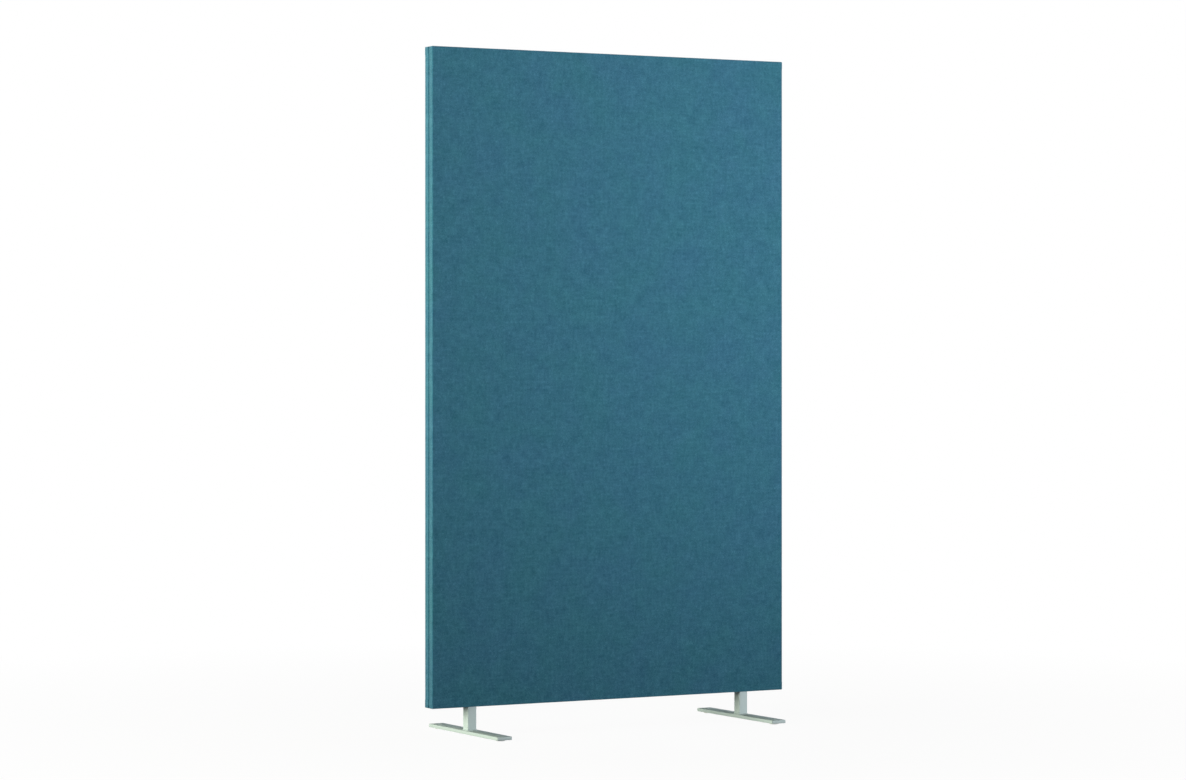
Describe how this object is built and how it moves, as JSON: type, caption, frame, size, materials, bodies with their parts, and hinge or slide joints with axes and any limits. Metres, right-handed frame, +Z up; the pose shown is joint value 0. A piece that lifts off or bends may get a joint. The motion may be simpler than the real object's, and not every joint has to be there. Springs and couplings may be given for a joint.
{
  "type": "acoustic divider screen",
  "caption": "Free-standing flat acoustic screen: a tall cloth-covered panel on two square posts with flat-bar feet and levelling glides.",
  "frame": {"origin": "on the floor, under the middle of the panel, at the middle of the overall box's base", "axes": "+X along the panel to the right as seen from the front, +Y from the front to the back, +Z up"},
  "size_m": [1, 0.36, 1.669],
  "materials": {
    "timber": "matte",
    "dowel_wood": "matte",
    "plywood": "matte",
    "absorber_felt": "matte",
    "wadding": "matte",
    "cover_cloth": "matte",
    "spline": "matte",
    "zinc_steel": "satin",
    "silver_coat": "satin",
    "glide_plastic": "matte"
  },
  "bodies": {
    "screen": {"left_stile": "timber", "right_stile": "timber", "top_rail": "timber", "bottom_rail": "timber", "upper_cross_rail": "timber", "lower_cross_rail": "timber", "frame_dowels": "dowel_wood", "corner_blocks": "plywood", "top_absorber": "absorber_felt", "middle_absorber": "absorber_felt", "bottom_absorber": "absorber_felt", "front_wadding": "wadding", "back_wadding": "wadding", "front_cover": "cover_cloth", "back_cover": "cover_cloth", "edge_spline": "spline", "left_barrel_nut": "zinc_steel", "left_foot_bolt": "zinc_steel", "left_locating_pins": "zinc_steel", "left_post_plate": "silver_coat", "left_post": "silver_coat", "left_foot_bar": "silver_coat", "right_barrel_nut": "zinc_steel", "right_foot_bolt": "zinc_steel", "right_locating_pins": "zinc_steel", "right_post_plate": "silver_coat", "right_post": "silver_coat", "right_foot_bar": "silver_coat"},
    "left_front_pad": {"left_front_glide_pad": "glide_plastic"},
    "left_front_stud": {"left_front_glide_stud": "zinc_steel"},
    "left_back_pad": {"left_back_glide_pad": "glide_plastic"},
    "left_back_stud": {"left_back_glide_stud": "zinc_steel"},
    "right_front_pad": {"right_front_glide_pad": "glide_plastic"},
    "right_front_stud": {"right_front_glide_stud": "zinc_steel"},
    "right_back_pad": {"right_back_glide_pad": "glide_plastic"},
    "right_back_stud": {"right_back_glide_stud": "zinc_steel"}
  },
  "joints": [
    {"name": "left_front_glide_travel", "type": "slide", "parent": "screen", "child": "left_front_pad", "axis": [0, 0, -1], "range_m": [0, 0.004]},
    {"name": "left_front_stud_turn", "type": "hinge", "parent": "left_front_pad", "child": "left_front_stud", "pos_m": [-0.388, -0.158, 0], "axis": [0, 0, -1], "range_deg": [0, 1152]},
    {"name": "left_back_glide_travel", "type": "slide", "parent": "screen", "child": "left_back_pad", "axis": [0, 0, -1], "range_m": [0, 0.004]},
    {"name": "left_back_stud_turn", "type": "hinge", "parent": "left_back_pad", "child": "left_back_stud", "pos_m": [-0.388, 0.158, 0], "axis": [0, 0, -1], "range_deg": [0, 1152]},
    {"name": "right_front_glide_travel", "type": "slide", "parent": "screen", "child": "right_front_pad", "axis": [0, 0, -1], "range_m": [0, 0.004]},
    {"name": "right_front_stud_turn", "type": "hinge", "parent": "right_front_pad", "child": "right_front_stud", "pos_m": [0.388, -0.158, 0], "axis": [0, 0, -1], "range_deg": [0, 1152]},
    {"name": "right_back_glide_travel", "type": "slide", "parent": "screen", "child": "right_back_pad", "axis": [0, 0, -1], "range_m": [0, 0.004]},
    {"name": "right_back_stud_turn", "type": "hinge", "parent": "right_back_pad", "child": "right_back_stud", "pos_m": [0.388, 0.158, 0], "axis": [0, 0, -1], "range_deg": [0, 1152]}
  ],
  "couplings": [
    {"joint": "left_front_stud_turn", "follows": "left_front_glide_travel", "rad_per_m": 5026.5},
    {"joint": "left_back_stud_turn", "follows": "left_back_glide_travel", "rad_per_m": 5026.5},
    {"joint": "right_front_stud_turn", "follows": "right_front_glide_travel", "rad_per_m": 5026.5},
    {"joint": "right_back_stud_turn", "follows": "right_back_glide_travel", "rad_per_m": 5026.5}
  ]
}
